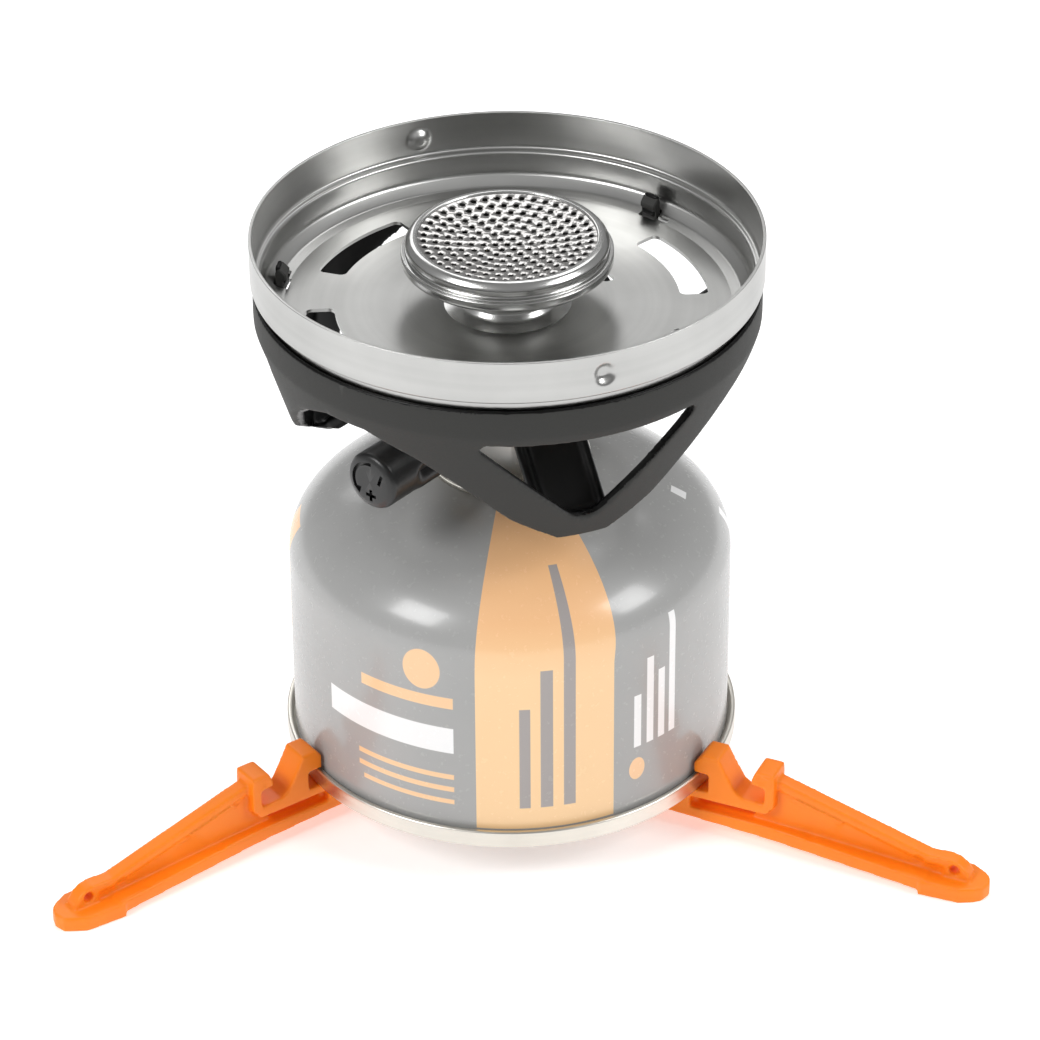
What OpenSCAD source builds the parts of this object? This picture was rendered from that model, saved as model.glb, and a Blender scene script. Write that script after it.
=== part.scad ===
// Canister stove: a personal burner with a pot ring, screwed on a gas canister that stands in a
// three-legged folding stabiliser. The origin is on the canister's axis, on the ground. +Z is up.
// Two legs point to the front left and front right, the third to the back (+Y).

/* [Canister] */
// Outer diameter of the canister's wall
can_d = 90; // [88:0.5:90.5]
// Height of the canister's lower rim above the ground
can_z = 10.3; // [10.2:0.1:10.6]
// Height of the straight wall above the lower rim
can_wall_h = 43.3; // [41.3:0.5:43.8]
// Sheet thickness of the canister
can_t = 0.6; // [0.5:0.1:0.8]

/* [Stabiliser] */
// Distance from the hub's axis to a foot's tip, along the leg
leg_l = 108; // [106:0.5:112]
// Width of a leg at its hooks
leg_w = 6.4; // [5.6:0.2:6.4]
// Sideways offset of a leg's own line from the hub's axis
leg_offset = 6; // [5:0.5:6]
// Turn of a leg's own line away from the direction of its foot
leg_skew = 3; // [1:0.5:4]
// Diameter of the rivet that joins the legs
rivet_d = 5; // [4:0.5:5]

/* [Pot ring] */
// Outer diameter of the pot ring
ring_d = 101.4; // [101:0.2:103]
// Height of the ring's rim above the ground
rim_z = 125.8; // [125.4:0.2:127]
// Sheet thickness of the pot ring
ring_t = 0.7; // [0.6:0.1:0.8]

/* [Burner] */
// Diameter of the holes in the flame plate
port_d = 1.2; // [0.8:0.1:1.3]
// Number of rings of holes around the middle hole
port_rings = 7; // [4:1:7]
// Outer diameter of the mixing tube
tube_d = 16.8; // [16:0.2:17]
// Wall thickness of the plastic base
base_t = 2.4; // [2:0.1:2.6]

/* [Control] */
// Diameter of the knob's round end
knob_d = 12; // [11:0.5:13]
// Number of flutes around the knob's grip
knob_flutes = 6; // [5:1:8]
// Height of the control spindle's axis above the ground
spindle_z = 88.7; // [88.4:0.1:89]

/* [Hidden] */
$fn = 96;

// Hair by which a cutter goes past the face that it cuts
cut = 1;
// Radial clearance of a running fit
run = 0.05;

// --- Directions seen from above, in degrees from +X ---
leg_angles = [90, 210, 330];
lobe_angles = [47.5, 167.5, 287.5];
knob_angle = 228;

// --- Canister ---
can_r = can_d / 2;
seam_r = can_r + 1.7;
seam_h = 3.9;
shoulder_z = can_z + can_wall_h;
shoulder_rise = 10.5;
dome_start_r = 30;
dome_rise = 3.8;
cup_seat_z = 74;
cup_seat_r = 16.4;
cup_hole_r = 14.6;
cup_floor_z = 69;
collar_r = 5.55;
collar_bore_r = 4.5;
collar_top_z = 79;
stem_r = 1.5;
stem_top_z = 75.5;
stem_flange_z = 70.5;
gasket_z = stem_flange_z + 1.5;
gasket_t = 1.4;
housing_z = 62;
spring_turns = 5;
spring_wire_r = 0.35;
spring_r = 2.3;

// --- Stabiliser ---
notch_r = seam_r + 2.2;
notch_z = can_z - run;
lip_r = can_r + 0.7;
lip_z = can_z + seam_h + 0.4;
hook_top_z = 19;
outer_hook_top_z = 18.2;
hook_base_z = 8.2;
pad_l = 13.5;
pad_h = 3.3;
pad_w = 10.8;
web_t = 2.2;
rim_t = 3.4;
eye_r = 6.2;
eye_t = 2;
eye_gap = 0.1;
eye_z = 3.3;
rivet_r = rivet_d / 2;
arm_end = 32;

// --- Pot ring ---
ring_r = ring_d / 2;
step_z = rim_z - 9;
pan_wall_r = ring_r - 1.5;
pan_wall_z = step_z - 4.5;
pan_floor_z = step_z - 7.5;
pan_floor_r = 46.8;
neck_hole_r = 9;
slot_r = [34.2, 40];
slot_half_angle = 18;
slot_angles = [for (i = [0:5]) 20 + 60 * i];
dimple_angles = [108.5, 288.5];
dimple_z = step_z + 4.8;

// --- Burner base ---
band_r = pan_wall_r + 1.1;
band_z = 105.4;
band_top_z = 115;
ledge_z = pan_floor_z;
taper_z = 108.8;
lobe_mid_r = 46.1;
lobe_mid_z = 95.3;
lobe_low_r = 41.4;
lobe_low_z = 80.2;
lobe_toe_r = 38;
lobe_toe_z = 79.5;
strut_w = 14;
window_tip_z = 83.2;
window_top_z = 106.8;
plate_r = 17;
plate_z = 94.5;
plate_t = 3;
screw_circle_r = 13;

// --- Burner head ---
tube_r = tube_d / 2;
tube_flange_z = plate_z + plate_t;
head_r = 20.95;
head_low_z = pan_floor_z + ring_t;
head_lip_z = rim_z - 3.75;
cap_r = 20.1;
cap_top_z = rim_z - 0.75;
flame_r = 18.6;
flame_t = 0.5;
flame_z = cap_top_z - 0.6;
flame_pitch = 2.35;

// --- Valve and control ---
body_r = 8.8;
skirt_z = 71;
socket_roof_z = 80.7;
filter_well_z = 84;
pin_top_z = 86;
seat_u = 1.5;
chamber_r = 2.2;
chamber_end = 9;
thread_r = 3;
gland_start = 13;
boss_r = 5.7;
boss_end = 16;
gland_end = 19;
gland_r = 4.3;
shaft_r = 1.75;
knob_start = 22;
knob_end = 42.6;
knob_r = knob_d / 2;
knob_grip_l = 11;
shaft_end = 34;
knob_screw_r = 1;
knob_screw_l = 5;
knob_well_r = 2.6;
knob_well_u = 36;

// ---------------------------------------------------------------- shared shapes

// A round tube between two heights
module tube(outer_r, inner_r, z0, z1) {
    translate([0, 0, z0]) difference() {
        cylinder(h = z1 - z0, r = outer_r);
        translate([0, 0, -cut]) cylinder(h = z1 - z0 + 2 * cut, r = inner_r);
    }
}

// A straight round bar or cutter between two heights
module bar(r, z0, z1) {
    translate([0, 0, z0]) cylinder(h = z1 - z0, r = r);
}

// Puts children that stand on +Z along the control spindle, which points outward and level
module along_spindle() {
    translate([0, 0, spindle_z]) rotate([0, 90, knob_angle]) children();
}

// Repeats children at each of a list of angles
module at_angles(angles) {
    for (a = angles) rotate([0, 0, a]) children();
}

// Points of a quarter ellipse from the wall (angle 0) to the crown (angle 90)
function quarter(centre_r, z, w, h, steps) =
    [for (i = [0:steps]) let (a = 90 * i / steps) [centre_r + w * cos(a), z + h * sin(a)]];

function reversed(list) = [for (i = [len(list) - 1:-1:0]) list[i]];

function unit(v) = v / norm(v);

// Arc of a given radius that rounds the corner p between its neighbours a and b
function corner_arc(a, p, b, radius) =
    let (ua = unit(a - p), ub = unit(b - p), half = acos(ua * ub) / 2, reach = radius / tan(half),
        centre = p + unit(ua + ub) * radius / sin(half),
        first = p + ua * reach - centre, last = p + ub * reach - centre)
    [for (i = [0:5]) centre + radius * unit(first * (1 - i / 5) + last * i / 5)];

// Points of a smooth curve from a to d that leaves a towards b and reaches d from c
function bend(a, b, c, d) = [for (t = [0:0.1:1])
    (1 - t) ^ 3 * a + 3 * (1 - t) ^ 2 * t * b + 3 * (1 - t) * t ^ 2 * c + t ^ 3 * d];

// Outline of the canister's shoulder and dome, from the wall to the cup's seat
function dome(inset) = bend([can_r - inset, shoulder_z], [can_r - inset, shoulder_z + shoulder_rise],
    [dome_start_r, cup_seat_z - dome_rise - inset], [cup_seat_r, cup_seat_z - inset]);

// A coil spring as one closed sweep of a six-sided wire
module coil(r, wire_r, z0, z1, turns) {
    sides = 6;
    rings = turns * 14;
    points = [for (i = [0:rings]) let (a = 360 * turns * i / rings, z = z0 + (z1 - z0) * i / rings)
        for (j = [0:sides - 1]) let (b = 360 * j / sides, rr = r + wire_r * cos(b))
            [rr * cos(a), rr * sin(a), z + wire_r * sin(b)]];
    sides_faces = [for (i = [0:rings - 1]) for (j = [0:sides - 1]) let (k = (j + 1) % sides)
        [i * sides + j, (i + 1) * sides + j, (i + 1) * sides + k, i * sides + k]];
    first_cap = [for (j = [0:sides - 1]) j];
    last_cap = [for (j = [sides - 1:-1:0]) rings * sides + j];
    polyhedron(points, concat([first_cap], sides_faces, [last_cap]), convexity = turns);
}

// ---------------------------------------------------------------- canister

module canister_shell() {
    color("silver") rotate_extrude() polygon(concat(
        [[can_r, can_z + 0.7]], dome(0),
        [[cup_hole_r, cup_seat_z], [cup_hole_r, cup_seat_z - can_t]],
        reversed(dome(can_t)), [[can_r - can_t, can_z + 0.7]]));
}

// Domed bottom with the rolled double seam around it
module canister_base() {
    wall_in = can_r - can_t;
    color("gainsboro") rotate_extrude() polygon([
        [seam_r - 0.4, can_z], [seam_r, can_z + 0.5], [seam_r, can_z + seam_h - 0.5],
        [seam_r - 0.4, can_z + seam_h], [can_r, can_z + seam_h], [can_r, can_z + 0.7],
        [wall_in, can_z + 0.7], [wall_in, can_z + 4.5], [wall_in - 6, can_z + 8.4],
        [wall_in - 20, can_z + 11], [0, can_z + 12.2], [0, can_z + 12.2 - can_t],
        [wall_in - 20, can_z + 11 - can_t], [wall_in - 6, can_z + 8.4 - can_t],
        [wall_in - can_t, can_z + 4.2], [wall_in - can_t, can_z]]);
}

// Mounting cup crimped into the canister's mouth, with the threaded collar
module valve_cup() {
    color("lightgray") rotate_extrude() polygon([
        [cup_hole_r, cup_seat_z], [cup_seat_r - 0.3, cup_seat_z], [cup_seat_r, cup_seat_z + 1],
        [cup_seat_r - 0.8, cup_seat_z + 2], [cup_hole_r, cup_seat_z + 2], [13.9, cup_seat_z + 1.3],
        [13.9, cup_floor_z + 0.6], [collar_r, cup_floor_z + 0.6], [collar_r, collar_top_z - 0.4],
        [collar_r - 0.4, collar_top_z], [stem_r + 0.2, collar_top_z],
        [stem_r + 0.2, collar_top_z - 0.6], [collar_bore_r, collar_top_z - 0.6],
        [collar_bore_r, cup_floor_z], [cup_hole_r, cup_floor_z]]);
}

module valve_housing() {
    color("ivory") difference() {
        bar(collar_bore_r - 0.1, housing_z, gasket_z);
        bar(3.1, housing_z + 1, gasket_z + cut);
        bar(0.6, housing_z - cut, housing_z + 1 + cut);
    }
}

module valve_stem() {
    color("gold") {
        difference() {
            union() {
                bar(stem_r, stem_flange_z - 1, stem_top_z);
                bar(2.8, stem_flange_z - 1.1, stem_flange_z);
                bar(spring_r - spring_wire_r - 0.15, stem_flange_z - 2.4, stem_flange_z - 1);
            }
            bar(0.6, stem_flange_z + 0.6, stem_top_z + cut);
            translate([0, 0, stem_flange_z + 1]) rotate([90, 0, 0])
                cylinder(h = 2 * body_r, r = 0.35, center = true);
        }
    }
}

module valve_spring() {
    color("gray") coil(spring_r, spring_wire_r, housing_z + 1 + spring_wire_r,
        stem_flange_z - 1.1 - spring_wire_r, spring_turns);
}

module valve_gasket() {
    color("dimgray") tube(collar_bore_r - 0.1, stem_r + run, gasket_z, gasket_z + gasket_t);
}

// ---------------------------------------------------------------- stabiliser

// Puts a leg drawn along +X (its own line on y = 0) in the direction of its foot
module leg_place(angle) {
    rotate([0, 0, angle + leg_skew]) translate([0, -leg_offset, 0]) children();
}

// A flat plate standing on the leg's own line, cut from a side profile
module side_plate(width, points) {
    rotate([90, 0, 0]) linear_extrude(height = width, center = true) polygon(points);
}

// Side profile of the two hooks with the notch for a wider canister between them
module hooks() {
    side_plate(leg_w, [
        [40, hook_base_z], [40, 12], [notch_r - 4.9, lip_z + 1.3],
        [notch_r - 2.3, hook_top_z], [notch_r + 1.2, hook_top_z],
        [notch_r + 2.9, 15.6], [notch_r + 5, 12], [notch_r + 6.6, 11], [60.2, 10.7],
        [60.2, lip_z], [57.4, lip_z + 0.4], [57.4, lip_z + 1.6], [58.2, outer_hook_top_z],
        [62.2, outer_hook_top_z], [62.4, 16.4], [62.4, 10.4], [60.6, hook_base_z]]);
}

// Web with the rim along its top, down to the foot
module beam() {
    top = [[60.4, 16.9], [95.2, 7.4], [99.6, 7.6]];
    side_plate(web_t, concat([[40, 4], [40, 9.4], [60.4, 9.8]], top,
        [[102.2, 6.8], [104, 4.6], [104.3, pad_h - 0.4], [95, 1.6]]));
    side_plate(rim_t, concat([[60.4, 14.8], [95.2, 5.4], [99.6, 5.6]], reversed(top)));
    side_plate(rim_t, [[98.6, pad_h - 0.4], [98.6, 7.55], [99.6, 7.6], [101.4, 7.2], [103, 6.1],
        [104.1, 4.4], [104.3, pad_h - 0.4]]);
}

// Bottom flange, wider towards the foot
module flange() {
    intersection() {
        side_plate(pad_w, [[40, eye_z], [95.5, 0.7], [95.5, 3.6], [66, 5.3], [56, 5.6], [40, 5.6]]);
        linear_extrude(height = 12) polygon([
            [40, -leg_w / 2], [62, -leg_w / 2], [95.5, -pad_w / 2 + 0.4],
            [95.5, pad_w / 2 - 0.4], [62, leg_w / 2], [40, leg_w / 2]]);
    }
}

// Foot pad with a rounded tip
module foot_pad() {
    start = leg_l - pad_l;
    linear_extrude(height = pad_h) polygon([
        [start, -pad_w / 2], [start + 8.6, -pad_w / 2 + 0.5], [start + 11.4, -3.4],
        [leg_l - 0.7, -2.2], [leg_l, 0], [leg_l - 0.7, 2.2], [start + 11.4, 3.4],
        [start + 8.6, pad_w / 2 - 0.5], [start, pad_w / 2]]);
}

// Arm under the canister, from the beam to the eye on the hub's axis, in one of three layers
module arm(layer) {
    z = eye_z + layer * (eye_t + eye_gap);
    half = leg_w / 2 - 0.3;
    translate([0, 0, z]) linear_extrude(height = eye_t) polygon([
        [0, leg_offset + eye_r - 0.4], [arm_end + 3, half], [arm_end + 3, -half],
        [0, leg_offset - eye_r + 1.5]]);
    translate([0, leg_offset, z]) cylinder(h = eye_t, r = eye_r);
    translate([arm_end, -leg_w / 2, eye_z]) cube([12, leg_w, can_z - 0.6 - eye_z]);
}

module leg(angle, layer) {
    difference() {
        leg_place(angle) {
            hooks();
            beam();
            flange();
            foot_pad();
            arm(layer);
        }
        // Bore on the rivet
        bar(rivet_r + run, 0, can_z);
        // Room for the canister's seam and wall inside the hooks
        rotate_extrude() polygon([[0, notch_z], [notch_r, notch_z], [notch_r, lip_z],
            [lip_r, lip_z], [lip_r, hook_top_z + cut], [0, hook_top_z + cut]]);
        // Long recess between hooks and flange, and the small hole in the foot
        leg_place(angle) {
            slot_end(45.9, 6.95);
            rotate([90, 0, 0]) linear_extrude(height = 2 * pad_w, center = true)
                polygon([[45.9, 5.95], [45.9, 7.95], [57.6, 7.6], [57.6, 5.95]]);
            translate([100.9, 0, 5.3]) rotate([90, 0, 0])
                cylinder(h = pad_w, r = 1.1, center = true);
        }
    }
}

// Round end of a slot through the leg
module slot_end(x, z) {
    translate([x, 0, z]) rotate([90, 0, 0]) cylinder(h = 2 * pad_w, r = 1, center = true);
}

module leg_back() {
    color("darkorange") leg(leg_angles[0], 0);
}

module leg_left() {
    color("darkorange") leg(leg_angles[1], 1);
}

module leg_right() {
    color("darkorange") leg(leg_angles[2], 2);
}

// Rivet through the three eyes
module hub_rivet() {
    color("silver") {
        bar(rivet_r, eye_z - 1, eye_z + 3 * eye_t + 2 * eye_gap + 0.7);
        bar(rivet_r + 2, eye_z - 1.1, eye_z - 0.05);
        bar(rivet_r + 1.2, eye_z + 3 * eye_t + 2 * eye_gap + 0.65,
            eye_z + 3 * eye_t + 2 * eye_gap + 1.5);
    }
}

module rivet_washer() {
    top = eye_z + 3 * eye_t + 2 * eye_gap;
    color("gray") tube(rivet_r + 2, rivet_r, top + 0.05, top + 0.65);
}

// ---------------------------------------------------------------- valve

// Valve body: socket for the canister's collar, boss for the spindle, flange for the base
module valve_body() {
    color("dimgray") difference() {
        union() {
            bar(body_r, skirt_z, plate_z);
            bar(boss_end - 0.2, plate_z - 2, plate_z);
            along_spindle() cylinder(h = boss_end, r = boss_r);
        }
        bar(collar_r + run, skirt_z - cut, socket_roof_z);
        bar(2.3, socket_roof_z - cut, filter_well_z);
        bar(1.3, filter_well_z - cut, pin_top_z);
        bar(1, spindle_z, plate_z - 3);
        bar(2.5, plate_z - 3, plate_z + cut);
        along_spindle() {
            cylinder(h = chamber_end, r = 0.8);
            translate([0, 0, seat_u]) cylinder(h = chamber_end, r = chamber_r);
            translate([0, 0, chamber_end]) cylinder(h = boss_end, r = thread_r + run);
            translate([0, 0, gland_start]) cylinder(h = boss_end, r = gland_r);
        }
        // Slanting passage from the socket to the spindle's chamber
        rotate([0, 0, knob_angle]) translate([0.8, 0, 82.5]) rotate([0, 22, 0])
            cylinder(h = 6, r = 0.8);
        at_angles(lobe_angles) translate([screw_circle_r, 0, plate_z - 2 - cut])
            cylinder(h = 2 + 2 * cut, r = 1.5);
    }
}

// Pin that opens the canister's valve
module inlet_pin() {
    color("goldenrod") bar(1.3, stem_top_z + 0.1, pin_top_z);
}

module inlet_filter() {
    color("peru") tube(2.3, 1.3, filter_well_z - 2.8, filter_well_z - 0.6);
}

// O-ring between the valve body and the canister's collar
module inlet_seal() {
    color("black") translate([0, 0, (socket_roof_z + collar_top_z) / 2]) rotate_extrude()
        translate([3.6, 0]) circle(r = 0.75);
}

module gland_nut() {
    color("silver") along_spindle() difference() {
        union() {
            translate([0, 0, gland_start]) cylinder(h = boss_end - gland_start, r = gland_r);
            translate([0, 0, boss_end]) cylinder(h = gland_end - boss_end, r = 5.6, $fn = 6);
        }
        cylinder(h = gland_end + cut, r = shaft_r + run);
    }
}

// Needle with its thread and the shaft that carries the knob
module needle_spindle() {
    color("silver") along_spindle() {
        translate([0, 0, seat_u - 0.9]) cylinder(h = 2.4, r1 = 0.5, r2 = 1.22);
        translate([0, 0, seat_u + 1.5]) cylinder(h = 0.5, r1 = 1.22, r2 = 1.6);
        translate([0, 0, seat_u + 2]) cylinder(h = 3, r = 1.6);
        translate([0, 0, seat_u + 5]) cylinder(h = 1.6, r = 1);
        translate([0, 0, seat_u + 6.6]) cylinder(h = 0.9, r = 1.6);
        translate([0, 0, chamber_end]) cylinder(h = 2.6, r = thread_r);
        difference() {
            translate([0, 0, seat_u + 10.1])
                cylinder(h = shaft_end - seat_u - 10.1, r = shaft_r);
            translate([0, 0, shaft_end - knob_screw_l])
                cylinder(h = knob_screw_l + cut, r = knob_screw_r);
        }
    }
}

// O-ring in the spindle's groove
module spindle_seal() {
    color("black") along_spindle() translate([0, 0, seat_u + 5.8]) rotate_extrude()
        translate([1.62, 0]) circle(r = 0.54);
}

// Knob: smooth round end, ribbed grip, bore for the shaft and a well for its screw
module control_knob() {
    collar_u = knob_start + knob_grip_l;
    color("black") along_spindle() difference() {
        union() {
            translate([0, 0, collar_u]) cylinder(h = knob_end - 2 - collar_u, r = knob_r);
            translate([0, 0, knob_start]) cylinder(h = knob_grip_l, r = knob_r - 0.8);
            for (i = [0:knob_flutes - 1]) rotate([0, 0, 360 * i / knob_flutes])
                translate([knob_r / 2, -1.1, knob_start + 0.5])
                    cube([knob_r / 2 + 0.6, 2.2, knob_grip_l]);
        }
        translate([0, 0, knob_start - cut]) cylinder(h = shaft_end - knob_start + cut, r = shaft_r);
        translate([0, 0, shaft_end - cut]) cylinder(h = knob_end, r = knob_screw_r);
        translate([0, 0, knob_well_u]) cylinder(h = knob_end, r = knob_well_r);
    }
}

module knob_cap() {
    color("dimgray") along_spindle() {
        translate([0, 0, knob_end - 2]) cylinder(h = 1.3, r = knob_r - 0.3);
        translate([0, 0, knob_end - 0.7]) cylinder(h = 0.7, r1 = knob_r - 0.3, r2 = knob_r - 0.9);
        translate([0, 0, knob_end - 3.2]) cylinder(h = 1.4, r = knob_well_r);
    }
}

module knob_screw() {
    color("silver") along_spindle() {
        translate([0, 0, shaft_end - knob_screw_l])
            cylinder(h = knob_well_u - shaft_end + knob_screw_l, r = knob_screw_r);
        translate([0, 0, knob_well_u]) difference() {
            cylinder(h = 1.6, r = knob_well_r - 0.3);
            translate([-3, -0.3, 0.9]) cube([6, 0.6, 1]);
        }
    }
}

// ---------------------------------------------------------------- burner base

// Band with its inner ledge, and the cone that hangs from it and turns in at the toe
module skirt() {
    rotate_extrude() polygon([
        [band_r, band_top_z], [band_r, taper_z], [lobe_mid_r, lobe_mid_z], [lobe_low_r, lobe_low_z],
        [lobe_toe_r, lobe_toe_z], [lobe_toe_r - 1.2, lobe_toe_z + 2],
        [lobe_low_r - base_t + 0.3, lobe_low_z + 2.2], [lobe_mid_r - base_t, lobe_mid_z + 0.4],
        [band_r - base_t - 0.4, ledge_z - 1.8], [45.2, ledge_z - 1.8],
        [45.2, ledge_z], [pan_wall_r + 0.15, ledge_z], [pan_wall_r + 0.15, band_top_z]]);
}

// Half outline of a lobe seen from outside: distance from its middle, height
lobe_edge = [[4.8, lobe_toe_z - 1], [4.8, lobe_low_z - 0.3], [14.6, 86.2], [20.5, 91.8],
    [26, 96.6], [32, 101.2], [41.5, band_z + 0.9], [41.5, band_z + 3]];

module lobe_outline() {
    mirrored = [for (q = reversed(lobe_edge)) [-q[0], q[1]]];
    polygon(concat(lobe_edge, mirrored));
}

module window_outline() {
    tip = [0, window_tip_z];
    right = [window_top_z - window_tip_z, window_top_z];
    left = [-right[0], window_top_z];
    polygon(concat(corner_arc(left, tip, right, 4.5), corner_arc(tip, right, left, 1.2),
        corner_arc(right, left, tip, 1.2)));
}

// Turns an outline (distance from the middle, height) into a prism that looks outward along +X
module outward() {
    translate([12, 0, 0]) rotate([90, 0, 90]) linear_extrude(height = 50) children();
}

// The skirt, whole in the band and only at the three lobes below it
module lobes() {
    intersection() {
        skirt();
        union() {
            bar(band_r + cut, band_z, band_top_z + cut);
            at_angles(lobe_angles) outward() lobe_outline();
        }
    }
}

// Strut from a lobe's toe up into the plate under the mixing tube
module strut() {
    side_plate(strut_w, [
        [lobe_toe_r + 0.3, lobe_toe_z + 1.2], [lobe_toe_r - 0.6, lobe_toe_z + 0.15],
        [lobe_toe_r - 2.6, lobe_toe_z + 0.2], [lobe_toe_r - 4.4, lobe_toe_z + 1.9],
        [plate_r + 1.2, plate_z - 1], [plate_r + 0.3, plate_z + 0.6], [plate_r - 5, plate_z + 0.6],
        [plate_r - 5, plate_z + plate_t - 0.3], [plate_r + 0.5, plate_z + plate_t - 0.3],
        [lobe_toe_r - 2.6, lobe_toe_z + 3], [lobe_toe_r + 2.4, lobe_toe_z + 3.2],
        [lobe_toe_r + 1.8, lobe_toe_z + 1.8]]);
}

// Clip that comes up through the pan
module clip() {
    translate([45.4, -1.7, ledge_z - 1]) cube([1.2, 3.4, 6.4]);
    translate([44.5, -1.7, ledge_z + ring_t + 0.1]) cube([1.5, 3.4, 1.6]);
}

module burner_base() {
    color("darkslategray") difference() {
        union() {
            lobes();
            at_angles(lobe_angles) {
                strut();
                clip();
            }
            bar(plate_r, plate_z, plate_z + plate_t);
        }
        at_angles(lobe_angles) outward_window();
        bar(9, plate_z - cut, plate_z + plate_t + cut);
        at_angles(lobe_angles) translate([screw_circle_r, 0, plate_z - cut])
            cylinder(h = plate_t + 2 * cut, r = 1.5);
    }
}

// Window through the lobe only: it starts outside the strut
module outward_window() {
    translate([27.6, 0, 0]) outward() window_outline();
}

module base_screws() {
    color("silver") at_angles(lobe_angles) translate([screw_circle_r, 0, 0]) {
        bar(1.5, plate_z - 2, tube_flange_z + 1.5);
        difference() {
            bar(2.8, plate_z - 4, plate_z - 2);
            bar(1.3, plate_z - 4 - cut, plate_z - 3, $fn = 6);
        }
    }
}

module jet() {
    color("goldenrod") difference() {
        union() {
            bar(2.5, plate_z - 3, plate_z);
            bar(4.4, plate_z, plate_z + 3, $fn = 6);
            bar(2.3, plate_z + 3, plate_z + 5);
        }
        bar(1, plate_z - 3 - cut, plate_z + 4.3);
        bar(0.3, plate_z + 4, plate_z + 5 + cut);
    }
}

module mixing_tube() {
    color("silver") difference() {
        union() {
            bar(tube_r, tube_flange_z, head_low_z + 5.5);
            bar(plate_r - 0.5, tube_flange_z, tube_flange_z + 1.5);
        }
        bar(tube_r - 1, tube_flange_z - cut, head_low_z + 5.5 + cut);
        at_angles(lobe_angles) translate([screw_circle_r, 0, tube_flange_z - cut])
            cylinder(h = 1.5 + 2 * cut, r = 1.5);
        for (a = [0, 90]) rotate([90, 0, a + 45]) translate([0, tube_flange_z + 5, -tube_d])
            cylinder(h = 2 * tube_d, r = 2.5);
    }
}

// ---------------------------------------------------------------- pot ring

// Curved slot between two radii, with straight ends
module curved_slot() {
    rotate([0, 0, -slot_half_angle]) rotate_extrude(angle = 2 * slot_half_angle)
        translate([slot_r[0], pan_floor_z - cut]) square([slot_r[1] - slot_r[0], 4]);
}

module pot_ring() {
    t = ring_t;
    color("lightgray") difference() {
        union() {
            rotate_extrude() polygon([
                [neck_hole_r, pan_floor_z], [pan_floor_r, pan_floor_z], [pan_wall_r, pan_wall_z - 0.4],
                [pan_wall_r, step_z], [ring_r, step_z], [ring_r, rim_z], [ring_r - t, rim_z],
                [ring_r - t, step_z + t], [pan_wall_r - t, step_z + t], [pan_wall_r - t, pan_wall_z],
                [pan_floor_r - t, pan_floor_z + t], [neck_hole_r, pan_floor_z + t]]);
            // Pressed dimples that lock the pot
            at_angles(dimple_angles) translate([ring_r - t, 0, dimple_z]) rotate([0, -90, 0])
                cylinder(h = 1.3, r1 = 2.05, r2 = 1.4);
        }
        at_angles(slot_angles) curved_slot();
        at_angles(lobe_angles) translate([44.2, -2.1, pan_floor_z - cut]) cube([2.6, 4.2, 6]);
        at_angles(dimple_angles) translate([ring_r + 0.01, 0, dimple_z]) rotate([0, -90, 0])
            cylinder(h = 1.2, r1 = 1.7, r2 = 1);
    }
}

// ---------------------------------------------------------------- burner head

module burner_head() {
    z = head_low_z;
    color("silver") rotate_extrude() polygon([
        [tube_r, z], [tube_r + 1, z], [tube_r + 0.7, z + 1.2], [tube_r + 0.7, z + 4.6],
        [tube_r + 3.4, z + 7.2], [head_r - 0.8, head_lip_z - 3.2], [head_r, head_lip_z - 2.4],
        [head_r, head_lip_z], [cap_r + 0.05, head_lip_z], [cap_r + 0.05, head_lip_z - 1.2],
        [cap_r - 1, head_lip_z - 1.2], [cap_r - 1, head_lip_z - 2.2],
        [tube_r + 3.2, z + 8.2], [tube_r, z + 5.5]]);
}

// Flat screen under the flame plate
module diffuser_screen() {
    color("gray") difference() {
        bar(cap_r - 0.1, head_lip_z - 1.2, head_lip_z - 0.8);
        bar(tube_r - 3, head_lip_z - 2, head_lip_z);
        for (i = [0:23]) rotate([0, 0, 15 * i]) translate([12, 0, 0])
            bar(0.9, head_lip_z - 2, head_lip_z);
    }
}

// Plate with a middle port and rings of ports, six more in each ring
module flame_plate() {
    color("gainsboro") difference() {
        bar(flame_r, flame_z - flame_t, flame_z);
        bar(port_d / 2, flame_z - cut, flame_z + cut);
        for (k = [1:port_rings]) for (i = [0:6 * k - 1]) rotate([0, 0, 60 * i / k])
            translate([k * flame_pitch, 0, 0]) bar(port_d / 2, flame_z - cut, flame_z + cut);
    }
}

// Rolled ring that holds the flame plate in the head
module burner_cap() {
    outer = quarter(cap_r - 2.1, cap_top_z - 2.6, 2.1, 2.6, 6);
    color("lightgray") rotate_extrude() polygon(concat(
        [[cap_r, head_lip_z - 0.8]], outer,
        [[flame_r - 0.9, cap_top_z], [flame_r - 0.9, cap_top_z - 0.5], [flame_r + 0.2, cap_top_z - 0.6],
        [cap_r - 0.7, cap_top_z - 2.3], [cap_r - 0.7, head_lip_z - 0.8]]));
}

canister_shell();
canister_base();
valve_cup();
valve_housing();
valve_stem();
valve_spring();
valve_gasket();
leg_back();
leg_left();
leg_right();
hub_rivet();
rivet_washer();
valve_body();
inlet_pin();
inlet_filter();
inlet_seal();
gland_nut();
needle_spindle();
spindle_seal();
control_knob();
knob_cap();
knob_screw();
burner_base();
base_screws();
jet();
mixing_tube();
pot_ring();
burner_head();
diffuser_screen();
flame_plate();
burner_cap();
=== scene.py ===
"""Canister stove: visible pieces, materials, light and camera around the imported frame.

Profiles and sizes are written in millimetres and scaled to metres when a mesh is made.
"""

from math import cos, degrees, hypot, pi, radians, sin, sqrt, tan

import bmesh
import bpy
import numpy as np
from mathutils import Matrix, Vector, geometry


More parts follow.
